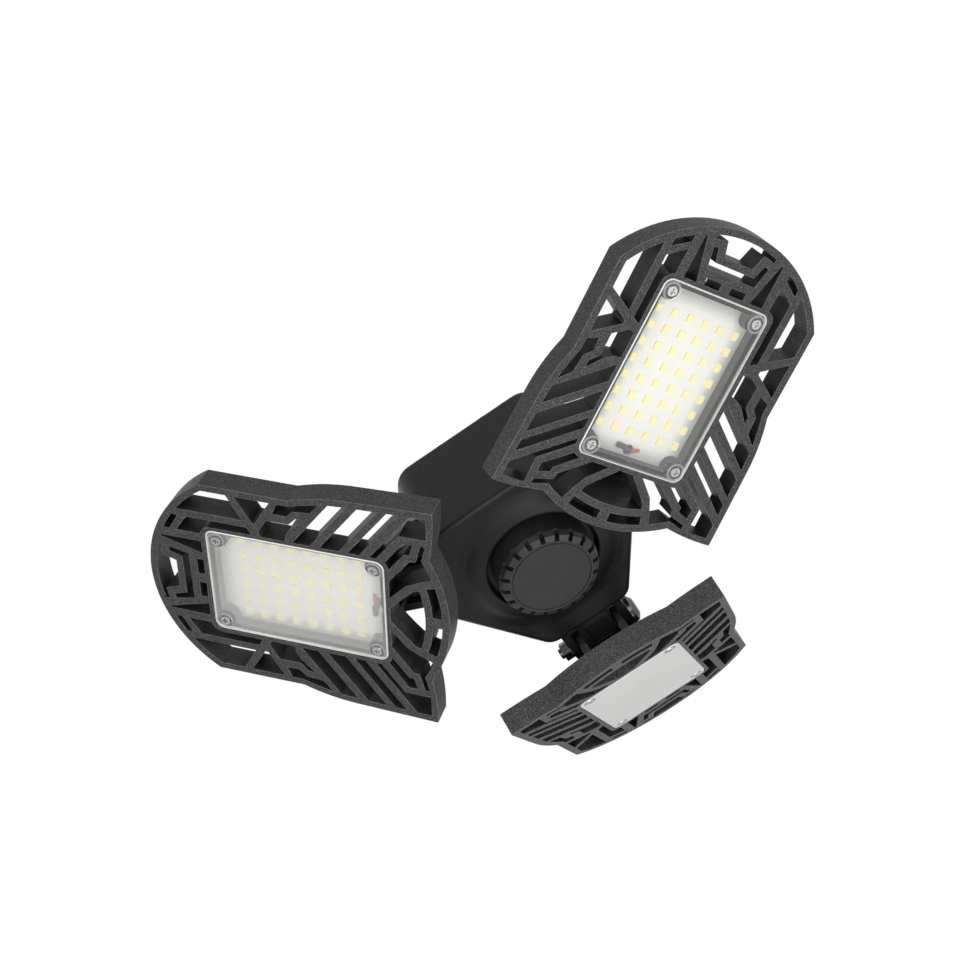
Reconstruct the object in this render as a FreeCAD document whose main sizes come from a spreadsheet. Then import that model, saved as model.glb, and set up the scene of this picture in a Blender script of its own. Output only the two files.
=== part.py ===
import FreeCAD, Part
import math
import os
import Sketcher
from FreeCAD import Placement, Rotation, Vector

# Deformable garage light: a driver housing on a lamp screw base, with three pierced
# heat-sink panels hinged round its sides at 120 degrees. Each panel carries a board
# of LEDs behind a frosted lens. Millimetres. +Z points to the lamp socket, and the
# origin is on the lamp's axis at the shoulder where the screw shell starts.

SIZES = [
    # screw base and neck
    ("shell_radius", 13.0), ("shell_length", 24.0), ("shell_wall", 0.5),
    ("insulator_height", 2.8), ("contact_radius", 5.0), ("contact_height", 1.8),
    ("neck_height", 12.0), ("neck_base_radius", 21.0), ("neck_top_radius", 14.6),
    ("neck_bore_radius", 9.0),
    # housing: long sides and hinge sides of a six-sided prism with a draft
    ("long_apothem", 42.5), ("hinge_apothem", 49.0), ("side_draft", 3.2),
    ("corner_radius", 8.0), ("housing_height", 44.0), ("cover_height", 6.0),
    ("housing_wall", 2.2), ("front_floor", 2.6), ("front_round", 2.4),
    ("cover_round", 2.5), ("plain_band", 5.0),
    ("flute_width", 2.4), ("flute_depth", 0.45), ("flute_inner", 11.3), ("flute_outer", 22.5),
    ("cover_lip", 1.6), ("cover_fit", 0.15),
    # dome and dish round the vent cap
    ("dome_radius", 38.0), ("dome_height", 3.6), ("dish_radius", 25.3), ("dish_depth", 5.0),
    ("dish_lip", 0.9),
    # vent cap
    ("cap_radius", 22.6), ("cap_height", 14.4), ("cap_wall", 2.0), ("cap_shoulder", 3.6),
    ("cap_groove_radius", 18.0), ("cap_groove_width", 0.6), ("cap_groove_depth", 0.5),
    ("cap_slot_width", 2.1), ("cap_slot_length", 4.0), ("cap_slot_count", 20),
    ("cap_spigot_radius", 15.0), ("cap_spigot_fit", 0.1),
    # hinge
    ("hinge_radius", 64.0), ("hinge_rise", 8.0), ("ear_radius", 7.4), ("lug_radius", 6.4),
    ("lug_inner", 8.45), ("lug_width", 3.5), ("ear_width", 3.8), ("hinge_gap", 0.3),
    ("bolt_radius", 2.5), ("bore_fit", 0.06), ("washer_radius", 5.2), ("washer_width", 0.6),
    ("head_washer_radius", 7.0), ("head_radius", 6.5), ("head_height", 2.8),
    ("nut_flats", 8.0), ("nut_width", 4.0), ("thread_end", 1.5),
    ("knuckle_recess_width", 10.0), ("knuckle_recess_depth", 2.0),
    # tilt of each panel above level, and the stops
    ("tilt_1", 33.7), ("tilt_2", 7.0), ("tilt_3", 29.3),
    # heat-sink panel outline, from the hinge axis outwards
    ("front_drop", 26.5), ("panel_depth", 11.0),
    ("inner_corner_x", -27.4), ("inner_corner_y", 56.3), ("inner_notch_x", -25.5),
    ("inner_notch_y", 32.2), ("inner_arc_radius", 66.3), ("flare_x", 10.0),
    ("flare_y", 54.9), ("step_x", 34.5), ("side_half", 50.2), ("tip_corner_x", 74.6),
    ("tip_radius", 59.8), ("rim_width", 3.1), ("rib_width", 3.4),
    # lens, board and LEDs
    ("lens_start", -5.7), ("lens_length", 80.0), ("lens_width", 53.4), ("lens_thick", 2.0),
    ("lens_corner", 4.0), ("lens_fit", 0.2), ("lens_bevel", 0.5),
    ("lens_ledge", 2.6), ("pocket_depth", 8.2), ("post_radius", 4.2), ("screw_inset", 4.9),
    ("boss_wall", 1.9), ("boss_corner", 5.0),
    ("board_thick", 1.6), ("board_fit", 0.3), ("led_length", 3.5), ("led_width", 2.8),
    ("led_height", 0.75), ("led_pitch_x", 7.5), ("led_pitch_y", 7.85),
    ("screw_radius", 1.3), ("screw_head_radius", 2.6), ("screw_head_height", 1.3),
    ("screw_length", 7.0), ("screw_fit", 0.08), ("counterbore_radius", 3.1),
    ("counterbore_depth", 1.0),
    # lead tails on the board
    ("grommet_radius", 3.6), ("grommet_bore", 2.4), ("lead_radius", 0.75),
    ("lead_spacing", 2.0), ("lead_run", 7.0),
    # cut-out pattern: places along the lens from its inner edge, and levels
    ("slot_angle", 53.0), ("slot_1_at", 3.2), ("slot_1_width", 2.8), ("slot_2_at", 10.6),
    ("slot_2_width", 5.0), ("slot_3_at", 19.4), ("slot_3_width", 8.5), ("slot_4_at", 32.3),
    ("slot_4_width", 7.6), ("side_slot_width", 3.6), ("arm_level", 42.4),
    ("fan_half", 3.4), ("side_window_half", 8.6), ("arc_slot_half", 2.5),
    ("arc_slot_angle", 17.1), ("arc_rib_width", 3.3), ("arc_slot_width", 4.1),
    ("tip_level", 24.3), ("wedge_level", 20.3), ("wedge_root", 13.7),
    ("square_width", 3.2), ("square_low", 2.4), ("square_high", 10.2),
    # driver board and its parts
    ("driver_radius", 33.0), ("driver_thick", 1.6), ("standoff_height", 6.0),
    ("standoff_radius", 3.0), ("standoff_ring", 27.0), ("cap_can_radius", 5.0),
    ("cap_can_height", 16.0), ("coil_size", 14.0), ("coil_height", 12.0),
    ("bridge_length", 9.0), ("bridge_width", 6.5), ("bridge_height", 3.0),
    ("connector_length", 8.0), ("connector_width", 6.0), ("connector_height", 6.5),
    ("cover_screw_ring", 46.0), ("cover_screw_radius", 1.5), ("cover_screw_length", 14.0),
    ("cover_screw_head", 2.8), ("cover_screw_head_height", 1.8), ("cover_post_radius", 3.6),
]

doc = FreeCAD.newDocument("garage_light")
sheet = doc.addObject("Spreadsheet::Sheet", "sizes")
for row, (alias, value) in enumerate(SIZES, 1):
    sheet.set("A%d" % row, alias)
    sheet.set("B%d" % row, str(value))
    sheet.setAlias("B%d" % row, alias)
doc.recompute()
S = dict(SIZES)

# places that follow from the driving sizes
FRONT = -(S["neck_height"] + S["cover_height"] + S["housing_height"])
SEAM = FRONT + S["housing_height"]
COVER_TOP = SEAM + S["cover_height"]
HINGE_Z = FRONT + S["hinge_rise"]
DISH_FLOOR = FRONT - S["dome_height"] + S["dish_depth"]
INNER_FLOOR = DISH_FLOOR + S["front_floor"]
PANEL_FRONT = -S["front_drop"]
PANEL_BACK = PANEL_FRONT + S["panel_depth"]
LENS_END = S["lens_start"] + S["lens_length"]
LENS_MIDDLE = S["lens_start"] + S["lens_length"] / 2
POCKET_FLOOR = PANEL_FRONT + S["pocket_depth"]
BOARD_FACE = POCKET_FLOOR - S["board_thick"]
BOSS_START = S["lens_start"] - S["boss_wall"]
BOSS_END = LENS_END + S["boss_wall"]
BOSS_SIDE = S["lens_width"] / 2 + S["boss_wall"]
EAR_INNER = S["lug_inner"] + S["lug_width"] + S["hinge_gap"]
EAR_OUTER = EAR_INNER + S["ear_width"]
KNUCKLE_HALF = S["lug_inner"] - S["hinge_gap"]
# azimuth of each panel about the lamp's axis
PANELS = {1: 120.0, 2: 240.0, 3: 0.0}


# ---- helpers -------------------------------------------------------------

def new_body(label):
    body = doc.addObject("PartDesign::Body", label)
    body.Label = label
    return body


def origin_part(body, role):
    return [item for item in body.Origin.OriginFeatures if item.Role == role][0]


def new_sketch(body, name, level=0.0, plane="XY_Plane", level_from=None):
    sketch = body.newObject("Sketcher::SketchObject", name)
    sketch.AttachmentSupport = [(origin_part(body, plane), "")]
    sketch.MapMode = "FlatFace"
    sketch.AttachmentOffset = Placement(Vector(0, 0, level), Rotation())
    if level_from:
        sketch.setExpression("AttachmentOffset.Base.z", level_from)
    return sketch


def draw(sketch, path):
    """Close a path of points; a pair ("arc", middle) before a point bends the run to it."""
    points = [item for item in path if item[0] != "arc"]
    start = points[0]
    here = start
    bend = None
    for item in path[1:] + [start]:
        if item[0] == "arc":
            bend = item[1]
            continue
        ends = (Vector(here[0], here[1], 0), Vector(item[0], item[1], 0))
        if (ends[1] - ends[0]).Length > 1e-6:
            if bend:
                middle = Vector(bend[0], bend[1], 0)
                sketch.addGeometry(Part.Arc(ends[0], middle, ends[1]))
            else:
                sketch.addGeometry(Part.LineSegment(*ends))
        bend = None
        here = item


def draw_circle(sketch, x, y, radius, radius_from=None):
    index = sketch.addGeometry(Part.Circle(Vector(x, y, 0), Vector(0, 0, 1), radius))
    if radius_from:
        number = sketch.addConstraint(Sketcher.Constraint("Radius", index, radius))
        sketch.setExpression("Constraints[%d]" % number, radius_from)


def rounded_box(half_x, half_y, radius, middle_x=0.0):
    """Outline of a rectangle with rounded corners."""
    path = []
    for sign_x, sign_y in ((1, 1), (-1, 1), (-1, -1), (1, -1)):
        cx = middle_x + sign_x * (half_x - radius)
        cy = sign_y * (half_y - radius)
        side = (cx + sign_x * radius, cy)
        end = (cx, cy + sign_y * radius)
        turn = radius * math.sqrt(0.5)
        middle = ("arc", (cx + sign_x * turn, cy + sign_y * turn))
        if sign_x == sign_y:
            path += [side, middle, end]
        else:
            path += [end, middle, side]
    return path


def pad(body, sketch, name, length, length_from=None, reverse=False, both=False):
    feature = body.newObject("PartDesign::Pad", name)
    feature.Profile = sketch
    feature.Length = length
    feature.Reversed = reverse
    feature.Midplane = both
    if length_from:
        feature.setExpression("Length", length_from)
    sketch.Visibility = False
    doc.recompute()
    return feature


def pocket(body, sketch, name, length, length_from=None, reverse=False, both=False):
    """Cut, and make sure that the cut takes material away."""
    before = body.Shape.Volume
    feature = body.newObject("PartDesign::Pocket", name)
    feature.Profile = sketch
    feature.Length = length
    feature.Reversed = reverse
    feature.Midplane = both
    if length_from:
        feature.setExpression("Length", length_from)
    doc.recompute()
    if not body.Shape.Volume < before - 1e-3:
        raise ValueError("%s cuts nothing from %s" % (name, body.Label))
    return feature


def revolve(body, sketch, name, cut=False):
    kind = "PartDesign::Groove" if cut else "PartDesign::Revolution"
    before = body.Shape.Volume if cut else 0.0
    feature = body.newObject(kind, name)
    feature.Profile = sketch
    feature.ReferenceAxis = (sketch, ["V_Axis"])
    feature.Angle = 360.0
    doc.recompute()
    if cut and not body.Shape.Volume < before - 1e-3:
        raise ValueError("%s cuts nothing from %s" % (name, body.Label))
    return feature


def polar(body, features, name, count):
    feature = body.newObject("PartDesign::PolarPattern", name)
    feature.Originals = features
    feature.Axis = (origin_part(body, "Z_Axis"), [""])
    feature.Angle = 360.0
    feature.Occurrences = count
    body.Tip = feature
    doc.recompute()
    return feature


def round_edges(body, name, radius, radius_from, chosen):
    """Fillet the edges of the body's present shape that the test picks."""
    base = body.Tip
    names = ["Edge%d" % (i + 1) for i, edge in enumerate(base.Shape.Edges) if chosen(edge)]
    feature = body.newObject("PartDesign::Fillet", name)
    feature.Base = (base, names)
    feature.Radius = radius
    feature.setExpression("Radius", radius_from)
    doc.recompute()
    return feature


def bevel_edges(body, name, size, size_from, chosen):
    """Chamfer the edges of the body's present shape that the test picks."""
    base = body.Tip
    names = ["Edge%d" % (i + 1) for i, edge in enumerate(base.Shape.Edges) if chosen(edge)]
    feature = body.newObject("PartDesign::Chamfer", name)
    feature.Base = (base, names)
    feature.Size = size
    feature.setExpression("Size", size_from)
    doc.recompute()
    return feature


def at_level(edge, level):
    return all(abs(vertex.Point.z - level) < 1e-4 for vertex in edge.Vertexes)


def feature_of(label, shape):
    item = doc.addObject("Part::Feature", label)
    item.Label = label
    item.Shape = shape
    return item


def turned(profile, axis=Vector(0, 0, 1)):
    """A solid of revolution about Z or Y from (radius, height) points."""
    points = [axis * height + Vector(radius, 0, 0) for radius, height in profile]
    face = Part.Face(Part.makePolygon(points + points[:1]))
    return face.revolve(Vector(0, 0, 0), axis, 360)


def hinge_placement(number):
    """Frame of a panel: X outwards, Y along the hinge, Z to its back, origin on the hinge."""
    spin = Rotation(Vector(0, 0, 1), PANELS[number])
    tilt = Rotation(Vector(0, 1, 0), -S["tilt_%d" % number])
    place = spin.multVec(Vector(S["hinge_radius"], 0, HINGE_Z))
    return Placement(place, spin.multiply(tilt))


def knuckle_placement(number):
    """The same frame without the tilt, for what stays on the housing."""
    spin = Rotation(Vector(0, 0, 1), PANELS[number])
    place = spin.multVec(Vector(S["hinge_radius"], 0, HINGE_Z))
    return Placement(place, spin)


# ---- housing -------------------------------------------------------------

def hex_path(grow):
    """Outline of the housing, offset by grow: long and hinge sides in turn, corners rounded."""
    long_side = S["long_apothem"] + grow
    hinge_side = S["hinge_apothem"] + grow
    radius = S["corner_radius"] + grow
    slant = math.sin(math.radians(60))
    trim = radius * math.tan(math.radians(30))
    ends = {"hinge": (long_side - hinge_side * 0.5) / slant - trim,
            "long": (hinge_side - long_side * 0.5) / slant - trim}
    path = []
    for turn in (0, 120, 240):
        for kind, angle, reach in (("hinge", turn, hinge_side), ("long", turn + 60, long_side)):
            spin = Rotation(Vector(0, 0, 1), angle)
            end = ends[kind]
            bend = Vector(radius * math.cos(math.radians(30)), radius * 0.5, 0)
            for x, y in ((reach, -end), (reach, end)):
                point = spin.multVec(Vector(x, y, 0))
                path.append((point.x, point.y))
            middle = spin.multVec(Vector(reach - radius, end, 0) + bend)
            path.append(("arc", (middle.x, middle.y)))
    return path + [path[0]]


def draft_growth(level):
    """How far the drafted sides stand outside the front outline at a level."""
    return (level - FRONT) * math.tan(math.radians(S["side_draft"]))


def draft_sides(body, name):
    """Lean the upright outer sides by the draft angle, so that they widen to the back."""
    base = body.Tip
    names = []
    for number, face in enumerate(base.Shape.Faces, 1):
        low_u, high_u, low_v, high_v = face.ParameterRange
        normal = face.normalAt((low_u + high_u) / 2, (low_v + high_v) / 2)
        if abs(normal.z) < 0.01:
            names.append("Face%d" % number)
    feature = body.newObject("PartDesign::Draft", name)
    feature.Base = (base, names)
    feature.NeutralPlane = (origin_part(body, "XY_Plane"), [""])
    feature.Angle = S["side_draft"]
    feature.setExpression("Angle", "sizes.side_draft")
    feature.Reversed = True
    doc.recompute()
    return feature


def cut_flutes(body, name, low, high):
    """Four shallow grooves down each long side, square to the drafted face."""
    lean = Rotation(Vector(0, 1, 0), 90.0 + S["side_draft"])
    spin = Rotation(Vector(0, 0, 1), 60.0)
    reach = S["long_apothem"] + draft_growth(0.0)
    sketch = body.newObject("Sketcher::SketchObject", name + "_outline")
    sketch.AttachmentSupport = [(origin_part(body, "XY_Plane"), "")]
    sketch.MapMode = "FlatFace"
    sketch.AttachmentOffset = Placement(spin.multVec(Vector(reach, 0, 0)), spin.multiply(lean))
    stretch = 1.0 / math.cos(math.radians(S["side_draft"]))
    for place in (-S["flute_outer"], -S["flute_inner"], S["flute_inner"], S["flute_outer"]):
        left = place - S["flute_width"] / 2
        right = place + S["flute_width"] / 2
        draw(sketch, [(-low * stretch, left), (-high * stretch, left),
                      (-high * stretch, right), (-low * stretch, right)])
    cut = pocket(body, sketch, name, S["flute_depth"], "sizes.flute_depth")
    polar(body, [cut], name + "_all_round", 3)


def make_housing():
    body = new_body("driver_housing")
    outline = new_sketch(body, "housing_outline", FRONT)
    draw(outline, hex_path(draft_growth(0.0)))
    pad(body, outline, "housing_block", S["housing_height"], "sizes.housing_height")
    draft_sides(body, "side_draft")
    round_edges(body, "front_edge", S["front_round"], "sizes.front_round",
                lambda edge: at_level(edge, FRONT))
    cut_flutes(body, "flutes", FRONT + S["plain_band"], SEAM + 1.0)
    # a low rise on the front, with a dish round the vent cap
    rise = new_sketch(body, "rise_outline", plane="XZ_Plane")
    crest = FRONT - S["dome_height"]
    lip = S["dish_radius"] + S["dish_lip"]
    width = S["dome_radius"] - lip
    steps = [(lip + width * run, crest + S["dome_height"] * fall)
             for run, fall in ((0.68, 0.78), (0.36, 0.32), (0.0, 0.0))]
    draw(rise, [(0.5, FRONT + 1.0), (S["dome_radius"], FRONT + 1.0), (S["dome_radius"], FRONT)]
         + steps + [(0.5, crest)])
    revolve(body, rise, "front_rise")
    dish = new_sketch(body, "dish_outline", plane="XZ_Plane")
    draw(dish, [(0.0, crest - 1.0), (lip + 0.2, crest - 1.0), (lip, crest),
                (S["dish_radius"] + S["dish_lip"] * 0.3, crest + S["dish_lip"] * 0.3),
                (S["dish_radius"], crest + S["dish_lip"]), (S["dish_radius"], DISH_FLOOR),
                (0.0, DISH_FLOOR)])
    revolve(body, dish, "front_dish", cut=True)
    # cavity, open at the seam
    cavity = new_sketch(body, "cavity_outline", SEAM)
    draw(cavity, hex_path(-S["housing_wall"]))
    pocket(body, cavity, "cavity", SEAM - INNER_FLOOR)
    bore = new_sketch(body, "cap_bore", INNER_FLOOR + 0.5)
    draw_circle(bore, 0, 0, S["cap_spigot_radius"] + S["cap_spigot_fit"],
                "sizes.cap_spigot_radius + sizes.cap_spigot_fit")
    pocket(body, bore, "cap_hole", S["front_floor"] + 1.0)
    # posts for the driver board, and for the cover's screws
    posts = new_sketch(body, "standoffs", INNER_FLOOR - 0.2)
    for angle in (60, 180, 300):
        spin = Rotation(Vector(0, 0, 1), angle).multVec(Vector(S["standoff_ring"], 0, 0))
        draw_circle(posts, spin.x, spin.y, S["standoff_radius"])
    pad(body, posts, "board_posts", S["standoff_height"] + 0.2, "sizes.standoff_height + 0.2")
    posts = new_sketch(body, "cover_posts_outline", INNER_FLOOR - 0.2)
    for place in cover_screw_places():
        draw_circle(posts, place.x, place.y, S["cover_post_radius"])
    pad(body, posts, "cover_posts", SEAM - INNER_FLOOR + 0.2 - S["cover_lip"] - 0.2)
    holes = new_sketch(body, "cover_screw_holes", SEAM)
    for place in cover_screw_places():
        draw_circle(holes, place.x, place.y, S["cover_screw_radius"] + S["screw_fit"])
    pocket(body, holes, "screw_pilots", S["cover_screw_length"] + 2.0)
    # hinge ears and the knuckle between them, on one side and then on all three
    features = []
    for name, middle, width in (("left_ear", (EAR_INNER + EAR_OUTER) / 2, S["ear_width"]),
                                ("right_ear", -(EAR_INNER + EAR_OUTER) / 2, S["ear_width"]),
                                ("knuckle", 0.0, 2 * KNUCKLE_HALF)):
        side = new_sketch(body, name + "_outline", middle, plane="XZ_Plane")
        draw(side, ear_path())
        features.append(pad(body, side, name, width, both=True))
    recess = new_sketch(body, "knuckle_recess_outline", FRONT - 1.0)
    half = S["knuckle_recess_width"] / 2
    start = S["hinge_apothem"] + S["front_round"]
    end = S["hinge_radius"] - 1.0
    draw(recess, [(start, -half), (end, -half), (end, half), (start, half)])
    rise = HINGE_Z - S["ear_radius"] - (FRONT - 1.0)
    features.append(pocket(body, recess, "knuckle_recess", rise + S["knuckle_recess_depth"],
                           reverse=True))
    bore = new_sketch(body, "hinge_bore_outline", plane="XZ_Plane")
    draw_circle(bore, S["hinge_radius"], HINGE_Z, S["bolt_radius"] + S["bore_fit"])
    features.append(pocket(body, bore, "hinge_bore", 4 * EAR_OUTER, both=True))
    polar(body, features, "three_hinges", 3)
    return body


def ear_path():
    """Side view of an ear: a round eye on an arm that widens into the housing."""
    radius = S["ear_radius"]
    root = S["hinge_apothem"] - 0.6
    top = HINGE_Z + radius * math.cos(math.radians(25))
    shoulder = S["hinge_radius"] + radius * math.sin(math.radians(25))
    return [(root, HINGE_Z - radius), (S["hinge_radius"], HINGE_Z - radius),
            ("arc", (S["hinge_radius"] + radius, HINGE_Z)), (shoulder, top),
            (root, HINGE_Z + 2.0 * radius)]


def cover_screw_places():
    """The cover's screws stand in the corners, beside each hinge side."""
    places = []
    for turn in (0, 120, 240):
        spin = Rotation(Vector(0, 0, 1), turn + 26.0)
        places.append(spin.multVec(Vector(S["cover_screw_ring"] - 2.0, 0, 0)))
    return places


def make_cover():
    """Back cover with the neck that carries the screw shell."""
    body = new_body("back_cover")
    outline = new_sketch(body, "cover_outline", SEAM)
    draw(outline, hex_path(draft_growth(0.0)))
    pad(body, outline, "cover_plate", S["cover_height"], "sizes.cover_height")
    draft_sides(body, "cover_draft")
    round_edges(body, "cover_edge", S["cover_round"], "sizes.cover_round",
                lambda edge: at_level(edge, COVER_TOP))
    cut_flutes(body, "cover_flutes", SEAM - 1.0, COVER_TOP + 1.0)
    lip = new_sketch(body, "lip_outline", SEAM)
    draw(lip, hex_path(-S["housing_wall"] - S["cover_fit"]))
    pad(body, lip, "lip", S["cover_lip"], "sizes.cover_lip", reverse=True)
    neck = new_sketch(body, "neck_outline", plane="XZ_Plane")
    inner = S["shell_radius"] - S["shell_wall"] - 0.1
    flare = S["neck_base_radius"] - S["neck_top_radius"]
    draw(neck, [(S["neck_bore_radius"], COVER_TOP - 1.0), (S["neck_base_radius"], COVER_TOP - 1.0),
                (S["neck_base_radius"], COVER_TOP),
                (S["neck_base_radius"] - flare * 0.55, COVER_TOP + S["neck_height"] * 0.12),
                (S["neck_base_radius"] - flare * 0.85, COVER_TOP + S["neck_height"] * 0.40),
                (S["neck_top_radius"], 0.0), (inner, 0.0),
                (inner, S["shell_length"]), (S["neck_bore_radius"], S["shell_length"])])
    revolve(body, neck, "neck")
    hollow = new_sketch(body, "cover_hollow", SEAM - S["cover_lip"])
    draw_circle(hollow, 0, 0, S["neck_base_radius"] + 8.0)
    pocket(body, hollow, "cover_hollow_cut", S["cover_lip"] + S["cover_height"] - S["housing_wall"],
           reverse=True)
    bore = new_sketch(body, "neck_bore_outline", COVER_TOP + 1.0)
    draw_circle(bore, 0, 0, S["neck_bore_radius"], "sizes.neck_bore_radius")
    pocket(body, bore, "neck_bore", S["cover_height"] + 4.0)
    for name, radius, depth in (
            ("screw_holes", S["cover_screw_radius"] + S["screw_fit"],
             S["cover_height"] + S["cover_lip"] + 2.0),
            ("screw_seats", S["cover_screw_head"] + 0.3, S["cover_screw_head_height"] + 0.6)):
        holes = new_sketch(body, name + "_outline", COVER_TOP)
        for place in cover_screw_places():
            draw_circle(holes, place.x, place.y, radius)
        pocket(body, holes, name, depth)
    return body


def make_cap():
    """Round vent cap: a plain disc face, and slots cut through its conical rim."""
    body = new_body("vent_cap")
    front = FRONT - S["cap_height"]
    wall = S["cap_wall"]
    disc = S["cap_radius"] - S["cap_shoulder"]
    side = new_sketch(body, "cap_outline", plane="XZ_Plane")
    spigot = S["cap_spigot_radius"]
    draw(side, [(0, front), (disc, front),
                (disc + S["cap_shoulder"] * 0.70, front + S["cap_shoulder"] * 0.28),
                (S["cap_radius"], front + S["cap_shoulder"]), (S["cap_radius"], DISH_FLOOR),
                (spigot, DISH_FLOOR), (spigot, INNER_FLOOR + 0.5),
                (spigot - wall, INNER_FLOOR + 0.5),
                (spigot - wall, front + wall), (0, front + wall)])
    revolve(body, side, "cap_turned")
    ring = new_sketch(body, "groove_outline", front)
    draw_circle(ring, 0, 0, S["cap_groove_radius"], "sizes.cap_groove_radius")
    draw_circle(ring, 0, 0, S["cap_groove_radius"] - S["cap_groove_width"],
                "sizes.cap_groove_radius - sizes.cap_groove_width")
    pocket(body, ring, "face_groove", S["cap_groove_depth"], "sizes.cap_groove_depth",
           reverse=True)
    slot = new_sketch(body, "slot_outline", front)
    half = S["cap_slot_width"] / 2
    draw(slot, [(disc, -half), (S["cap_radius"] + 1.0, -half),
                (S["cap_radius"] + 1.0, half), (disc, half)])
    cut = pocket(body, slot, "slot", S["cap_slot_length"], "sizes.cap_slot_length", reverse=True)
    polar(body, [cut], "slots", S["cap_slot_count"])
    return body


def make_base():
    """Screw shell, insulator and centre contact of the lamp base."""
    radius = S["shell_radius"]
    wall = S["shell_wall"]
    length = S["shell_length"]
    body = new_body("screw_shell")
    side = new_sketch(body, "shell_outline", plane="XZ_Plane")
    draw(side, [(radius - wall, 0), (radius, 0), (radius, length), (radius - wall, length)])
    revolve(body, side, "shell_turned")
    body = new_body("base_insulator")
    side = new_sketch(body, "insulator_outline", plane="XZ_Plane")
    top = length + S["insulator_height"]
    draw(side, [(0, length), (radius - 0.4, length), (S["contact_radius"] + 1.6, top), (0, top)])
    revolve(body, side, "insulator_turned")
    body = new_body("centre_contact")
    side = new_sketch(body, "contact_outline", plane="XZ_Plane")
    tip = top + S["contact_height"]
    edge = S["contact_height"] / 3
    dome = tip - top - edge
    sphere = (S["contact_radius"] ** 2 + dome ** 2) / (2 * dome)
    turn = math.asin(S["contact_radius"] / sphere) / 2
    draw(side, [(0, top), (S["contact_radius"], top), (S["contact_radius"], top + edge),
                ("arc", (sphere * math.sin(turn), tip - sphere + sphere * math.cos(turn))),
                (0, tip)])
    revolve(body, side, "contact_turned")


def make_driver():
    """Driver board on its posts, with the parts that it carries."""
    floor = INNER_FLOOR + S["standoff_height"]
    top = floor + S["driver_thick"]
    body = new_body("driver_board")
    outline = new_sketch(body, "driver_outline", floor)
    draw_circle(outline, 0, 0, S["driver_radius"], "sizes.driver_radius")
    pad(body, outline, "driver_plate", S["driver_thick"], "sizes.driver_thick")
    item = doc.addObject("Part::Box", "filter_coil")
    item.Label = "filter_coil"
    item.setExpression("Length", "sizes.coil_size")
    item.setExpression("Width", "sizes.coil_size")
    item.setExpression("Height", "sizes.coil_height")
    item.Placement = Placement(Vector(-S["coil_size"] - 6.0, 4.0, top), Rotation())
    cans = []
    for y in (-14.0, -3.0):
        cans.append(Part.makeCylinder(S["cap_can_radius"], S["cap_can_height"],
                                      Vector(-12.0, y, top)))
    feature_of("filter_capacitors", Part.makeCompound(cans))
    item = doc.addObject("Part::Box", "bridge_rectifier")
    item.Label = "bridge_rectifier"
    item.setExpression("Length", "sizes.bridge_length")
    item.setExpression("Width", "sizes.bridge_width")
    item.setExpression("Height", "sizes.bridge_height")
    item.Placement = Placement(Vector(4.0, 12.0, top), Rotation())
    blocks = []
    for angle in PANELS.values():
        block = Part.makeBox(S["connector_width"], S["connector_length"], S["connector_height"],
                             Vector(S["driver_radius"] - S["connector_width"] - 2.0,
                                    -S["connector_length"] / 2, top))
        block.rotate(Vector(0, 0, 0), Vector(0, 0, 1), angle)
        blocks.append(block)
    feature_of("output_connectors", Part.makeCompound(blocks))
    fuse = Part.makeCylinder(1.8, 9.0, Vector(4.0, -14.0, top + 1.8), Vector(1, 0, 0))
    feature_of("input_fuse", fuse)


def make_cover_screws():
    seat = COVER_TOP - S["cover_screw_head_height"] - 0.6
    screws = []
    for place in cover_screw_places():
        radius = S["cover_screw_radius"]
        head = S["cover_screw_head"]
        screw = turned([(0, seat - S["cover_screw_length"]),
                        (radius, seat - S["cover_screw_length"]), (radius, seat), (head, seat),
                        (head, seat + S["cover_screw_head_height"] * 0.5),
                        (head * 0.6, seat + S["cover_screw_head_height"]),
                        (0, seat + S["cover_screw_head_height"])])
        screw.translate(Vector(place.x, place.y, 0))
        screws.append(screw)
    feature_of("cover_screws", Part.makeCompound(screws))


# ---- pierced heat-sink panel ------------------------------------------------

def arc_point(centre_x, radius, y, sign):
    """The point at height y on an arc about (centre_x, 0); sign picks its side."""
    return (centre_x + sign * math.sqrt(radius ** 2 - y ** 2), y)


def tip_centre():
    return S["tip_corner_x"] - math.sqrt(S["tip_radius"] ** 2 - S["side_half"] ** 2)


def inner_centre():
    return S["inner_notch_x"] + math.sqrt(S["inner_arc_radius"] ** 2 - S["inner_notch_y"] ** 2)


def flare(x):
    """Height of the side edge between the inner corner and the step: a line, then a curve."""
    slope = (S["flare_y"] - S["inner_corner_y"]) / (S["flare_x"] - S["inner_corner_x"])
    if x <= S["flare_x"]:
        return S["inner_corner_y"] + slope * (x - S["inner_corner_x"])
    run = S["step_x"] - S["flare_x"]
    line_end = S["flare_y"] + slope * run
    return S["flare_y"] + slope * (x - S["flare_x"]) - (
        line_end - S["side_half"]) * ((x - S["flare_x"]) / run) ** 2


def rim(x):
    """Inner edge of the rim along the side."""
    return (flare(x) if x < S["step_x"] else S["side_half"]) - S["rim_width"]


def slope_x(x, y):
    """Where a slanted rib that leaves the lens boss at x has come to at height y."""
    return x - (y - BOSS_SIDE) / math.tan(math.radians(S["slot_angle"]))


def slope_to_rim(x):
    """The point where such a rib meets the rim."""
    y = rim(x)
    for _ in range(30):
        y = rim(slope_x(x, y))
    return (slope_x(x, y), y)


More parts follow.
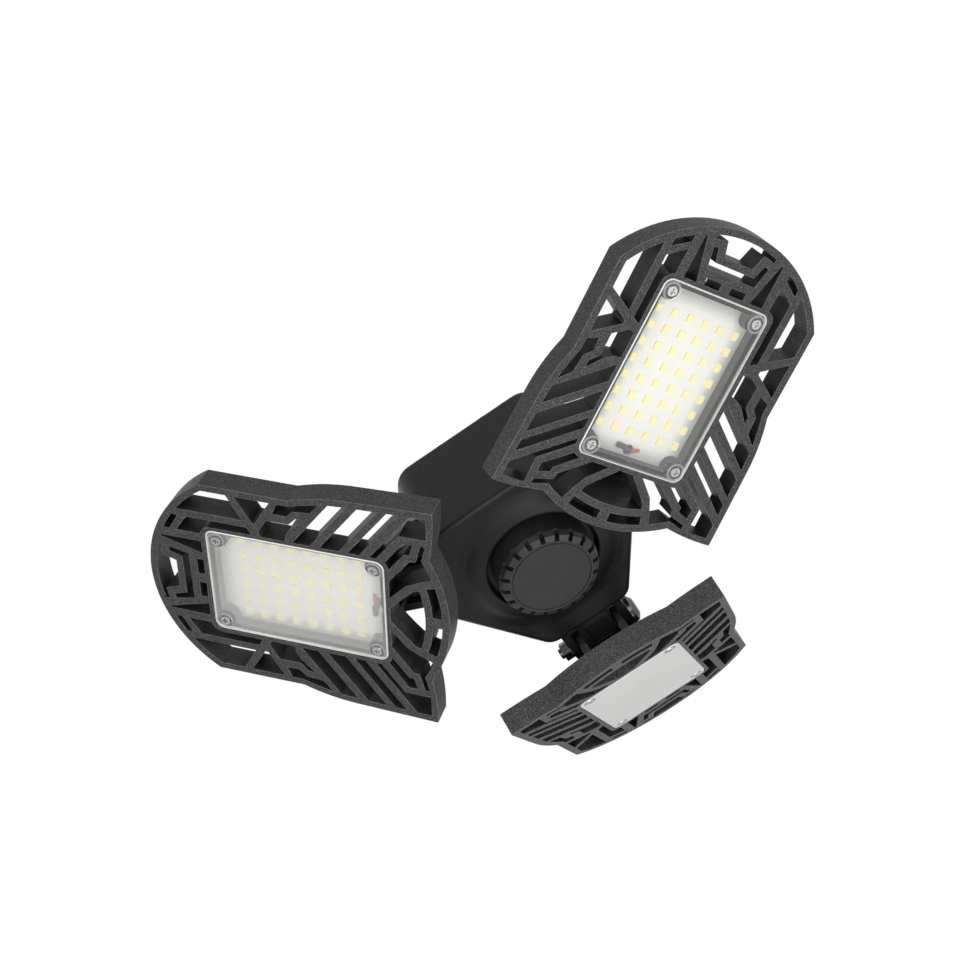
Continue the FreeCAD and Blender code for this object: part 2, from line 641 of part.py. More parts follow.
def outline_path():
    """The panel's closed outline, from the middle of its inner edge."""
    step_mid = (S["flare_x"] + S["step_x"]) / 2
    tip_x = tip_centre() + S["tip_radius"]
    near = arc_point(tip_centre(), S["tip_radius"], S["side_half"] * 0.55, 1)
    inner = arc_point(inner_centre(), S["inner_arc_radius"], S["inner_notch_y"] * 0.5, -1)
    corner = (S["inner_corner_x"], S["inner_corner_y"])
    notch = (S["inner_notch_x"], S["inner_notch_y"])
    bulge = ((corner[0] + notch[0]) / 2 - 0.6, (corner[1] + notch[1]) / 2 - 1.0)
    apex = (inner_centre() - S["inner_arc_radius"], 0.0)
    half = [apex, ("arc", inner), notch, ("arc", bulge), corner,
            (S["flare_x"], S["flare_y"]), ("arc", (step_mid, flare(step_mid))),
            (S["step_x"], S["side_half"]), (S["tip_corner_x"], S["side_half"]),
            ("arc", near), (tip_x, 0.0)]
    return half + mirrored(half)[1:]


def flip(item):
    if item[0] == "arc":
        return ("arc", (item[1][0], -item[1][1]))
    return (item[0], -item[1])


def mirrored(path):
    """The path reflected in the panel's middle line, walked backwards."""
    return [flip(item) for item in reversed(path)]


def side_windows():
    """Windows of one half of the panel, drawn for positive y."""
    start = S["lens_start"]
    rib = S["rib_width"]
    side = S["side_half"] - S["rim_width"]
    rim_arc = S["tip_radius"] - S["rim_width"]
    tip = tip_centre()
    inner = inner_centre()
    level_1 = BOSS_SIDE + S["side_slot_width"]
    level_2 = level_1 + rib
    arm = S["arm_level"]
    low = S["tip_level"]
    windows = []
    # corner window, which runs on as the first slanted slot
    edge = S["inner_corner_x"] + S["rim_width"] - 0.3
    first = start + S["slot_1_at"]
    windows.append([(edge, arm), (slope_x(first, arm), arm), (first, BOSS_SIDE),
                    (first + S["slot_1_width"], BOSS_SIDE),
                    slope_to_rim(first + S["slot_1_width"]), (edge, rim(edge))])
    # three more slanted slots
    for number in (2, 3, 4):
        left = start + S["slot_%d_at" % number]
        right = left + S["slot_%d_width" % number]
        windows.append([(left, BOSS_SIDE), (right, BOSS_SIDE), slope_to_rim(right),
                        slope_to_rim(left)])
    # short pocket between the first rib and the bent arm
    pocket_edge = first - rib * 1.26
    corner = (BOSS_START + S["boss_corner"], BOSS_SIDE - S["boss_corner"])
    turn = math.sqrt(0.5) * S["boss_corner"]
    windows.append([(slope_x(pocket_edge, arm - rib), arm - rib),
                    (slope_x(pocket_edge, arm - rib) - 4.1, arm - rib),
                    (slope_x(pocket_edge, arm - rib) - 2.5, arm - rib * 2.65),
                    (slope_x(pocket_edge, arm - rib) - 0.3, arm - rib * 2.67),
                    (BOSS_START, BOSS_SIDE - S["boss_corner"]),
                    ("arc", (corner[0] - math.cos(math.radians(22)) * S["boss_corner"],
                             corner[1] + math.sin(math.radians(22)) * S["boss_corner"])),
                    (corner[0] - turn, corner[1] + turn)])
    # window between the fan, the rim and the bent arm
    arc_in = S["inner_arc_radius"] - S["arc_rib_width"]
    rim_top = arc_point(inner, arc_in, S["inner_notch_y"] - 9.8, -1)
    rim_low = arc_point(inner, arc_in, S["inner_notch_y"] - 0.7, -1)
    foot = edge + 0.4
    fan = S["side_window_half"]
    windows.append([(BOSS_START, fan), (BOSS_START - 7.2, fan + 8.0),
                    (BOSS_START - 12.9, fan + 11.2), rim_top,
                    ("arc", arc_point(inner, arc_in, S["inner_notch_y"] - 5.2, -1)), rim_low,
                    (foot, arm - rib), (foot + 2.2, arm - rib),
                    (foot + 4.5, arm - rib - 8.6), (foot + 7.3, arm - rib - 9.1),
                    (BOSS_START, fan + 9.0)])
    # cranked window beside the lens, and the one that hugs the step
    place = start + 43.0
    windows.append([(place, BOSS_SIDE), (place + 11.0, BOSS_SIDE),
                    (place + 12.0, BOSS_SIDE + 2.3), (place + 7.8, level_2 + 2.2),
                    (place - 2.1, level_2 + 2.2), (place - 5.5, level_2 + 5.8),
                    (place - 8.5, level_2 + 5.8), (place - 2.5, level_2),
                    (place - 0.4, level_1 - 0.4)])
    far = (place - 16.7, rim(place - 16.7))
    windows.append([far, (place - 12.1, side - 1.5), (place - 4.3, side - 2.2),
                    (place - 1.5, side - 5.3), (place + 4.7, side - 5.3),
                    (place + 2.6, side), (S["step_x"] + 0.5, side),
                    ("arc", (place - 9.0, rim(place - 9.0)))])
    # triangle, long side slot, trapezoid along the side corner and its small neighbour
    place = start + 56.8
    windows.append([(place - 0.7, level_2 - 0.4), (place + 0.7, level_2 - 0.4),
                    (place + 7.7, side), (place - 8.0, side)])
    windows.append([(place + 1.3, BOSS_SIDE), (place + 3.2, level_1),
                    (BOSS_END + 5.6, level_1), (BOSS_END + 11.0, low), (BOSS_END, low),
                    (BOSS_END, BOSS_SIDE - S["boss_corner"]),
                    ("arc", (BOSS_END - S["boss_corner"] + turn,
                             BOSS_SIDE - S["boss_corner"] + turn)),
                    (BOSS_END - S["boss_corner"], BOSS_SIDE)])
    windows.append([(place + 5.1, level_2), arc_point(tip, rim_arc, level_2, 1),
                    ("arc", arc_point(tip, rim_arc, (level_2 + side) / 2, 1)),
                    arc_point(tip, rim_arc, side, 1), (place + 11.3, side)])
    windows.append([(BOSS_END + 9.5, level_1), arc_point(tip, rim_arc, level_1, 1),
                    ("arc", arc_point(tip, rim_arc, (level_1 + low) / 2, 1)),
                    arc_point(tip, rim_arc, low, 1), (BOSS_END + 14.2, low)])
    # wedge that points to the tip, and the small square beside the lens
    wedge = arc_point(tip, rim_arc, S["wedge_level"] - 0.2, 1)
    windows.append([(BOSS_END, S["wedge_level"]), wedge, (wedge[0], wedge[1] - 0.8),
                    (BOSS_END, S["wedge_root"])])
    windows.append([(BOSS_END, S["square_low"]), (BOSS_END + S["square_width"], S["square_low"]),
                    (BOSS_END + S["square_width"], S["square_high"]),
                    (BOSS_END, S["square_high"])])
    # slot inside the inner arc
    outer = S["inner_arc_radius"] - S["arc_rib_width"]
    slot_in = outer - S["arc_slot_width"]
    sweep = math.radians(S["arc_slot_angle"])
    mid = sweep / 2 + 0.02
    windows.append([arc_point(inner, outer, S["arc_slot_half"], -1),
                    ("arc", (inner - outer * math.cos(mid), outer * math.sin(mid))),
                    (inner - outer * math.cos(sweep), outer * math.sin(sweep)),
                    (inner - slot_in * math.cos(sweep), slot_in * math.sin(sweep)),
                    ("arc", (inner - slot_in * math.cos(mid), slot_in * math.sin(mid))),
                    arc_point(inner, slot_in, S["arc_slot_half"], -1)])
    return windows


def middle_windows():
    """Windows that lie across the panel's middle line."""
    inner = inner_centre()
    fan_arc = S["inner_arc_radius"] - 2 * S["arc_rib_width"] - S["arc_slot_width"]
    top = arc_point(inner, fan_arc, 15.7, -1)
    half = [(BOSS_START, S["fan_half"]), (BOSS_START - 7.0, S["fan_half"] + 7.7),
            (BOSS_START - 10.8, S["fan_half"] + 11.4), top]
    fan = half + [("arc", (inner - fan_arc, 0.0))] + mirrored(half)
    rib = S["rib_width"]
    place = BOSS_END + S["square_width"] + rib
    channel = place + rib
    half = [(channel, 9.9), (channel + 6.1, 12.0), (channel + 5.5, 14.2), (place, 12.2)]
    bracket = half + mirrored(half)
    tip = tip_centre()
    rim_arc = S["tip_radius"] - S["rim_width"]
    left = channel + rib - 0.3
    half = [(left, 7.2), (left + 6.7, 9.4), (left + 5.6, 15.2), arc_point(tip, rim_arc, 15.2, 1)]
    mouth = half + [("arc", (tip + rim_arc, 0.0))] + mirrored(half)
    return [fan, bracket, mouth]


def pocket_path(shrink):
    """Outline of the LED pocket, with a round post kept in each corner."""
    half_x = S["lens_length"] / 2 - S["lens_ledge"] - shrink
    half_y = S["lens_width"] / 2 - S["lens_ledge"] - shrink
    screw_x = S["lens_length"] / 2 - S["screw_inset"]
    screw_y = S["lens_width"] / 2 - S["screw_inset"]
    radius = S["post_radius"] + shrink
    reach_x = screw_x - math.sqrt(radius ** 2 - (half_y - screw_y) ** 2)
    reach_y = screw_y - math.sqrt(radius ** 2 - (half_x - screw_x) ** 2)
    turn = radius * math.sqrt(0.5)
    path = []
    for sign_x, sign_y in ((1, 1), (-1, 1), (-1, -1), (1, -1)):
        side = (LENS_MIDDLE + sign_x * half_x, sign_y * reach_y)
        end = (LENS_MIDDLE + sign_x * reach_x, sign_y * half_y)
        bend = ("arc", (LENS_MIDDLE + sign_x * (screw_x - turn), sign_y * (screw_y - turn)))
        path += [side, bend, end] if sign_x == sign_y else [end, bend, side]
    return path


def lens_screw_places():
    half_x = S["lens_length"] / 2 - S["screw_inset"]
    half_y = S["lens_width"] / 2 - S["screw_inset"]
    return [(LENS_MIDDLE + sx * half_x, sy * half_y) for sx in (-1, 1) for sy in (-1, 1)]


def make_heat_sink(number):
    body = new_body("heat_sink_%d" % number)
    outline = new_sketch(body, "panel_outline_%d" % number, PANEL_FRONT,
                         level_from="-sizes.front_drop")
    draw(outline, outline_path())
    pad(body, outline, "panel_%d" % number, S["panel_depth"], "sizes.panel_depth")
    # lugs that reach up to the hinge bolt, with a wider foot on the panel's back
    foot = S["lug_radius"] + 1.4
    for side, sign in (("left", -1), ("right", 1)):
        middle = sign * (S["lug_inner"] + S["lug_width"] / 2)
        lug = new_sketch(body, "%s_lug_outline_%d" % (side, number), middle, plane="XZ_Plane")
        draw(lug, [(-foot, PANEL_BACK - 0.5), (foot, PANEL_BACK - 0.5), (foot, PANEL_BACK),
                   (S["lug_radius"], PANEL_BACK + 4.0), (S["lug_radius"], 0.0),
                   ("arc", (0.0, S["lug_radius"])), (-S["lug_radius"], 0.0),
                   (-S["lug_radius"], PANEL_BACK + 4.0), (-foot, PANEL_BACK)])
        pad(body, lug, "%s_lug_%d" % (side, number), S["lug_width"], "sizes.lug_width", both=True)
    windows = new_sketch(body, "windows_outline_%d" % number, PANEL_FRONT,
                         level_from="-sizes.front_drop")
    for path in side_windows():
        draw(windows, path)
        draw(windows, [flip(item) for item in path])
    for path in middle_windows():
        draw(windows, path)
    pocket(body, windows, "windows_%d" % number, S["panel_depth"], "sizes.panel_depth",
           reverse=True)
    recess = new_sketch(body, "lens_recess_outline_%d" % number, PANEL_FRONT,
                        level_from="-sizes.front_drop")
    draw(recess, rounded_box(S["lens_length"] / 2 + S["lens_fit"],
                             S["lens_width"] / 2 + S["lens_fit"],
                             S["lens_corner"] + S["lens_fit"], LENS_MIDDLE))
    pocket(body, recess, "lens_recess_%d" % number, S["lens_thick"], "sizes.lens_thick",
           reverse=True)
    hollow = new_sketch(body, "led_pocket_outline_%d" % number, PANEL_FRONT,
                        level_from="-sizes.front_drop")
    draw(hollow, pocket_path(0.0))
    pocket(body, hollow, "led_pocket_%d" % number, S["pocket_depth"], "sizes.pocket_depth",
           reverse=True)
    holes = new_sketch(body, "lens_screw_holes_%d" % number, PANEL_FRONT,
                       level_from="-sizes.front_drop")
    for x, y in lens_screw_places():
        draw_circle(holes, x, y, S["screw_radius"] + S["screw_fit"])
    pocket(body, holes, "lens_screw_pilots_%d" % number, S["screw_length"] + 2.0,
           "sizes.screw_length + 2", reverse=True)
    lead = new_sketch(body, "lead_hole_outline_%d" % number, PANEL_FRONT,
                      level_from="-sizes.front_drop")
    draw_circle(lead, 0, 0, S["grommet_radius"], "sizes.grommet_radius")
    pocket(body, lead, "lead_hole_%d" % number, S["panel_depth"] + 1.0,
           "sizes.panel_depth + 1", reverse=True)
    bore = new_sketch(body, "lug_bore_outline_%d" % number, plane="XZ_Plane")
    draw_circle(bore, 0, 0, S["bolt_radius"] + S["bore_fit"], "sizes.bolt_radius + sizes.bore_fit")
    pocket(body, bore, "lug_bore_%d" % number, 4 * EAR_OUTER, both=True)
    body.Placement = hinge_placement(number)


def make_lens(number):
    """Frosted lens with four counterbored screw holes."""
    level = PANEL_FRONT
    body = new_body("lens_%d" % number)
    outline = new_sketch(body, "lens_outline_%d" % number, level, level_from="-sizes.front_drop")
    draw(outline, rounded_box(S["lens_length"] / 2, S["lens_width"] / 2, S["lens_corner"],
                              LENS_MIDDLE))
    pad(body, outline, "lens_plate_%d" % number, S["lens_thick"], "sizes.lens_thick")
    bevel_edges(body, "lens_edge_%d" % number, S["lens_bevel"], "sizes.lens_bevel",
                lambda edge: at_level(edge, level))
    for name, radius, depth in (("hole", S["screw_radius"] + 0.25, S["lens_thick"]),
                                ("seat", S["counterbore_radius"], S["counterbore_depth"])):
        holes = new_sketch(body, "lens_%s_outline_%d" % (name, number), level,
                           level_from="-sizes.front_drop")
        for x, y in lens_screw_places():
            draw_circle(holes, x, y, radius)
        pocket(body, holes, "lens_%s_%d" % (name, number), depth, reverse=True)
    body.Placement = hinge_placement(number)


def make_led_board(number):
    body = new_body("led_board_%d" % number)
    outline = new_sketch(body, "board_outline_%d" % number, BOARD_FACE)
    draw(outline, pocket_path(S["board_fit"]))
    draw_circle(outline, 0, 0, S["grommet_bore"])
    pad(body, outline, "board_%d" % number, S["board_thick"], "sizes.board_thick")
    body.Placement = hinge_placement(number)

    chips = []
    for column in range(8):
        for row in range(6):
            x = LENS_MIDDLE + (column - 3.5) * S["led_pitch_x"]
            y = (row - 2.5) * S["led_pitch_y"]
            chips.append(Part.makeBox(S["led_length"], S["led_width"], S["led_height"],
                                      Vector(x - S["led_length"] / 2, y - S["led_width"] / 2,
                                             BOARD_FACE - S["led_height"])))
    group = feature_of("led_chips_%d" % number, Part.makeCompound(chips))
    group.Placement = hinge_placement(number)


def make_panel_screws(number):
    radius = S["screw_radius"]
    head = S["screw_head_radius"]
    seat = PANEL_FRONT + S["counterbore_depth"]
    screws = []
    for x, y in lens_screw_places():
        screw = turned([(0, seat + S["screw_length"]), (radius, seat + S["screw_length"]),
                        (radius, seat), (head, seat),
                        (head * 0.8, seat - S["screw_head_height"]),
                        (0, seat - S["screw_head_height"])])
        screw.translate(Vector(x, y, 0))
        screws.append(screw)
    group = feature_of("lens_screws_%d" % number, Part.makeCompound(screws))
    group.Placement = hinge_placement(number)


def make_leads(number):
    """Grommet in the pocket's floor, and the tails of the two leads that end on the board."""
    outer = S["grommet_radius"] - 0.05
    bore = S["grommet_bore"]
    ring = turned([(bore, POCKET_FLOOR), (outer, POCKET_FLOOR), (outer, PANEL_BACK),
                   (outer + 1.0, PANEL_BACK), (outer + 0.6, PANEL_BACK + 1.0),
                   (bore, PANEL_BACK + 1.0)])
    item = feature_of("lead_grommet_%d" % number, ring)
    item.Placement = hinge_placement(number)
    for name, side in (("red_lead", -1), ("black_lead", 1)):
        y = side * S["lead_spacing"] / 2
        level = BOARD_FACE - S["lead_radius"] - 0.02
        start = Vector(0, y, PANEL_BACK + 1.0)
        elbow = Vector(0, y, level)
        finish = Vector(S["lead_run"], y, level)
        path = Part.Wire([Part.LineSegment(start, elbow).toShape(),
                          Part.LineSegment(elbow, finish).toShape()])
        ring = Part.Wire(Part.makeCircle(S["lead_radius"], start, Vector(0, 0, -1)))
        tube = path.makePipeShell([ring], True, True, 1)
        item = feature_of("%s_%d" % (name, number), tube)
        item.Placement = hinge_placement(number)


def along_hinge(profile):
    """A turned piece whose axis lies on the hinge, from (radius, place) points."""
    return turned(profile, Vector(0, 1, 0))


def make_hinge(number):
    """Bolt, its washers and its nut."""
    radius = S["bolt_radius"]
    outside = EAR_OUTER + S["washer_width"]
    nut_end = outside + S["nut_width"]
    head = S["head_radius"]
    high = S["head_height"]
    bolt = along_hinge([(0, -outside - high), (head * 0.6, -outside - high),
                        (head, -outside - high * 0.4),
                        (head, -outside), (radius, -outside),
                        (radius, nut_end + S["thread_end"]),
                        (0, nut_end + S["thread_end"])])
    item = feature_of("hinge_bolt_%d" % number, bolt)
    item.Placement = knuckle_placement(number)
    rings = []
    bore = radius + S["bore_fit"]
    for low, high_end, rim in ((-outside, -EAR_OUTER, S["head_washer_radius"]),
                               (EAR_OUTER, outside, S["washer_radius"])):
        rings.append(along_hinge([(bore, low), (rim, low), (rim, high_end), (bore, high_end)]))
    item = feature_of("hinge_washers_%d" % number, Part.makeCompound(rings))
    item.Placement = knuckle_placement(number)

    body = new_body("hinge_nut_%d" % number)
    outline = new_sketch(body, "nut_outline_%d" % number, -outside, plane="XZ_Plane")
    corner = S["nut_flats"] / 2 / math.cos(math.radians(30))
    draw(outline, [(corner * math.cos(math.radians(a)), corner * math.sin(math.radians(a)))
                   for a in range(0, 360, 60)])
    draw_circle(outline, 0, 0, radius + S["bore_fit"], "sizes.bolt_radius + sizes.bore_fit")
    pad(body, outline, "nut_%d" % number, S["nut_width"], "sizes.nut_width", reverse=True)
    body.Placement = knuckle_placement(number)


make_housing()
make_cover()
make_cap()
make_base()
make_driver()
make_cover_screws()
for panel in PANELS:
    make_heat_sink(panel)
    make_lens(panel)
    make_led_board(panel)
    make_panel_screws(panel)
    make_leads(panel)
    make_hinge(panel)
doc.recompute()

# ---- checks and files --------------------------------------------------------

for item in doc.Objects:
    if "Invalid" in item.State or "Error" in item.State:
        raise ValueError("%s: %s" % (item.Label, item.State))
pieces = [item for item in doc.Objects
          if item.TypeId in ("PartDesign::Body", "Part::Box", "Part::Feature")]
os.makedirs("parts", exist_ok=True)
for item in pieces:
    if item.Shape.isNull() or not item.Shape.isValid():
        raise ValueError("%s has no valid shape" % item.Label)
for item in pieces:
    item.Shape.exportStep("parts/%s.step" % item.Label)
    print("%-22s %2d solids %10.1f mm3" % (item.Label, len(item.Shape.Solids), item.Shape.Volume))
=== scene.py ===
import math
import bmesh
import bpy
from mathutils import Matrix, Vector


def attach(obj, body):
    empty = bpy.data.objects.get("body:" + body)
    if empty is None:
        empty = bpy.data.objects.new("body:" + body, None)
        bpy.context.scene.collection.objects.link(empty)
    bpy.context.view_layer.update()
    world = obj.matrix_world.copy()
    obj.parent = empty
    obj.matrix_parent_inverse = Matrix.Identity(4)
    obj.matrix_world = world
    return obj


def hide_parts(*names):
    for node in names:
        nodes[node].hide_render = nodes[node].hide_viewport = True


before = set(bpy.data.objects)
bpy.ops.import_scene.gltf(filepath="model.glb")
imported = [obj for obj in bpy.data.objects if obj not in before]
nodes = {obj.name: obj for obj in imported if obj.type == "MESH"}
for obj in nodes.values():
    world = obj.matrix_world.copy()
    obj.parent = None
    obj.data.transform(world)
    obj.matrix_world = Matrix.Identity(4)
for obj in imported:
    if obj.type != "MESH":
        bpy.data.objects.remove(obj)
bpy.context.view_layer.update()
MM = 0.001

# ---- camera ------------------------------------------------------------------

CAMERA_PLACE = Vector((-0.49091, -0.06708, -0.61330))

cam_data = bpy.data.cameras.new("camera")
cam_data.sensor_width = 36.0
cam_data.lens = 63.81
cam_data.clip_start = 0.01
cam_data.clip_end = 50.0
camera = bpy.data.objects.new("camera", cam_data)
bpy.context.scene.collection.objects.link(camera)
bpy.context.scene.camera = camera
look = Vector((0.61785, 0.09531, 0.78050)).normalized()
right = Vector((0.48681, -0.82588, -0.28451)).normalized()
up = right.cross(look).normalized()
turn = Matrix((right, up, -look)).transposed()
camera.matrix_world = Matrix.Translation(CAMERA_PLACE) @ turn.to_4x4()

# ---- panel frames ----------------------------------------------------------------

# azimuth and tilt of each panel in degrees
PANELS = {1: (120.0, 33.7), 2: (240.0, 7.0), 3: (0.0, 29.3)}

# a panel's own frame: X outwards, Y along the hinge, Z to its back
HINGE = Vector((64.0, 0.0, -54.0)) * MM
LENS_CENTRE = Vector((34.3, 0.0, -26.5)) * MM
LENS_HALF = (40.0 * MM, 26.7 * MM)
LENS_CORNER = 4.0 * MM
BOARD_HALF = (37.1 * MM, 23.8 * MM)
SCREW_REACH = (35.1 * MM, 21.8 * MM)
# distances from a screw at which the pale ring round it starts, is full, thins and ends
SCREW_BOSS = (2.9 * MM, 3.2 * MM, 3.9 * MM, 4.5 * MM)
# distances from the lens's edge to where its rim, more opaque and with a painted glow, is full
# and where it ends
LENS_RIM = (0.35 * MM, 0.75 * MM)
LED_PITCH = (7.5 * MM, 7.85 * MM)
LED_COUNT = (8, 6)


def panel_frame(number):
    """The place and turn of a panel at rest, with its hinge at the origin."""
    azimuth, tilt = PANELS[number]
    spin = Matrix.Rotation(math.radians(azimuth), 4, "Z")
    lean = Matrix.Rotation(math.radians(-tilt), 4, "Y")
    return spin @ Matrix.Translation(HINGE) @ lean


# ---- material helpers ----------------------------------------------------------


class Mat:
    """A node material on the Principled shader, with short calls for the nodes it needs."""

    def __init__(self, name):
        self.mat = bpy.data.materials.new(name)
        self.mat.use_nodes = True
        self.tree = self.mat.node_tree
        self.bsdf = self.tree.nodes["Principled BSDF"]
        self.coord = self.add("ShaderNodeTexCoord").outputs["Object"]

    def add(self, kind, **values):
        node = self.tree.nodes.new(kind)
        for key, value in values.items():
            setattr(node, key, value)
        return node

    def link(self, a, b):
        self.tree.links.new(a, b)

    def set(self, **values):
        for key, value in values.items():
            self.bsdf.inputs[key.replace("_", " ")].default_value = value

    def noise(self, scale, detail=2.0):
        """Noise in the row frame; the scale is in waves per metre."""
        node = self.add("ShaderNodeTexNoise")
        node.inputs["Scale"].default_value = scale
        node.inputs["Detail"].default_value = detail
        node.inputs["Roughness"].default_value = 0.5
        self.link(self.coord, node.inputs["Vector"])
        return node.outputs["Fac"]

    def ramp(self, fac, stops):
        """Colours at places along a factor."""
        node = self.add("ShaderNodeValToRGB")
        ramp = node.color_ramp
        while len(ramp.elements) < len(stops):
            ramp.elements.new(0.5)
        for element, (place, colour) in zip(ramp.elements, stops):
            element.position = place
            element.color = tuple(colour) + (1.0,)
        self.link(fac, node.inputs["Fac"])
        return node.outputs["Color"]

    def math(self, kind, *values):
        """A sum on numbers or sockets."""
        node = self.add("ShaderNodeMath", operation=kind)
        for socket, value in zip(node.inputs, values):
            if isinstance(value, (int, float)):
                socket.default_value = value
            else:
                self.link(value, socket)
        return node.outputs["Value"]

    def spread(self, fac, low, high):
        """A factor of 0 to 1 laid over a range."""
        node = self.add("ShaderNodeMapRange")
        self.link(fac, node.inputs["Value"])
        node.inputs["To Min"].default_value = low
        node.inputs["To Max"].default_value = high
        return node.outputs["Result"]

    def mix(self, fac, a, b):
        """Colour a where the factor is 0 and colour b where it is 1."""
        node = self.add("ShaderNodeMix", data_type="RGBA")
        self.link(fac, node.inputs["Factor"])
        for socket, value in ((node.inputs["A"], a), (node.inputs["B"], b)):
            if isinstance(value, tuple):
                socket.default_value = value + (1.0,)
            else:
                self.link(value, socket)
        return node.outputs["Result"]

    def along(self, number, axis):
        """Distance from the middle of a panel's lens along one of the panel's axes."""
        place = panel_frame(number)
        direction = place.to_3x3().col[axis]
        node = self.add("ShaderNodeVectorMath", operation="DOT_PRODUCT")
        self.link(self.coord, node.inputs[0])
        node.inputs[1].default_value = direction
        return self.math("SUBTRACT", node.outputs["Value"], (place @ LENS_CENTRE).dot(direction))

    def length(self, a, b):
        """Length of the vector (a, b)."""
        squares = self.math("ADD", self.math("MULTIPLY", a, a), self.math("MULTIPLY", b, b))
        return self.math("SQRT", squares)

    def band(self, value, from_low, from_high, to_low=0.0, to_high=1.0):
        """A smooth step of a value between two marks."""
        node = self.add("ShaderNodeMapRange", interpolation_type="SMOOTHSTEP")
        self.link(value, node.inputs["Value"])
        for socket, mark in (("From Min", from_low), ("From Max", from_high),
                             ("To Min", to_low), ("To Max", to_high)):
            node.inputs[socket].default_value = mark
        return node.outputs["Result"]

    def edges(self, radius):
        """1 on the sharp edges of the piece and 0 on its faces."""
        bevel = self.add("ShaderNodeBevel", samples=6)
        bevel.inputs["Radius"].default_value = radius
        flat = self.add("ShaderNodeNewGeometry")
        node = self.add("ShaderNodeVectorMath", operation="DOT_PRODUCT")
        self.link(bevel.outputs["Normal"], node.inputs[0])
        self.link(flat.outputs["True Normal"], node.inputs[1])
        return self.band(node.outputs["Value"], 0.98, 0.80)

    def colour(self, socket):
        self.link(socket, self.bsdf.inputs["Base Color"])

    def rough(self, socket):
        self.link(socket, self.bsdf.inputs["Roughness"])

    def bump(self, height, strength, distance, edge=None):
        """Fine relief, over edges that look rounded by a radius, a number or a socket."""
        node = self.add("ShaderNodeBump")
        node.inputs["Strength"].default_value = strength
        node.inputs["Distance"].default_value = distance
        self.link(height, node.inputs["Height"])
        if edge:
            bevel = self.add("ShaderNodeBevel", samples=8)
            if isinstance(edge, float):
                bevel.inputs["Radius"].default_value = edge
            else:
                self.link(edge, bevel.inputs["Radius"])
            self.link(bevel.outputs["Normal"], node.inputs["Normal"])
        self.link(node.outputs["Normal"], self.bsdf.inputs["Normal"])


def grey(value):
    return (value, value, value)


def powder_coat():
    """Dark grey powder coat: fine pale metallic specks, painted highlights that make the edges a
    little brighter, and painted shade far into the windows.
    """
    m = Mat("powder_coat")
    base, speck, edge_highlight, window_shade = grey(0.052), grey(0.26), grey(0.55), grey(0.014)
    specks = m.ramp(m.noise(3600, 1.5), [(0.41, grey(0.020)), (0.54, base), (0.67, speck)])
    cloud = m.spread(m.noise(35, 3.0), 0.05, 0.35)
    coat = m.mix(cloud, specks, base)
    # painted highlight: sharp edges are lightened towards pale grey, as where light catches them
    coat = m.mix(m.math("MULTIPLY", m.edges(0.26 * MM), 0.85), coat, edge_highlight)
    # painted shade: darker far into the windows, where ambient occlusion finds them hollow
    hollow = m.add("ShaderNodeAmbientOcclusion", samples=6)
    hollow.inputs["Distance"].default_value = 14.0 * MM
    m.colour(m.mix(m.band(hollow.outputs["AO"], 0.95, 0.35), coat, window_shade))
    m.rough(m.spread(m.noise(900), 0.36, 0.54))
    m.bump(m.noise(2600), 0.25, 0.05 * MM, edge=0.4 * MM)
    m.set(Specular_IOR_Level=0.10)
    return m.mat


# distances from the lamp's axis to where the housing's edges turn from crisp to soft
DISH_SHOULDER = 42.0 * MM
DISH_LIP = 37.0 * MM


def black_coat():
    """Smooth satin black of the housing: crisp edges outside, and a soft lip round the dish."""
    m = Mat("black_coat")
    m.colour(m.ramp(m.noise(60, 4.0), [(0.3, grey(0.0050)), (0.7, grey(0.0080))]))
    m.rough(m.spread(m.noise(240, 3.0), 0.30, 0.40))
    split = m.add("ShaderNodeSeparateXYZ")
    m.link(m.coord, split.inputs[0])
    outward = m.length(split.outputs["X"], split.outputs["Y"])
    crisp, soft = 0.25 * MM, 2.2 * MM
    radius = m.band(outward, DISH_SHOULDER, DISH_LIP, crisp, soft)
    m.bump(m.noise(3200), 0.12, 0.04 * MM, edge=radius)
    m.set(Specular_IOR_Level=0.20)
    return m.mat


def cap_plastic():
    """Moulded black plastic of the vent cap."""
    m = Mat("cap_plastic")
    m.colour(m.ramp(m.noise(90, 4.0), [(0.3, grey(0.016)), (0.7, grey(0.021))]))
    m.rough(m.spread(m.noise(700, 3.0), 0.36, 0.48))
    m.bump(m.noise(4200), 0.15, 0.04 * MM, edge=0.25 * MM)
    m.set(Specular_IOR_Level=0.34)
    return m.mat


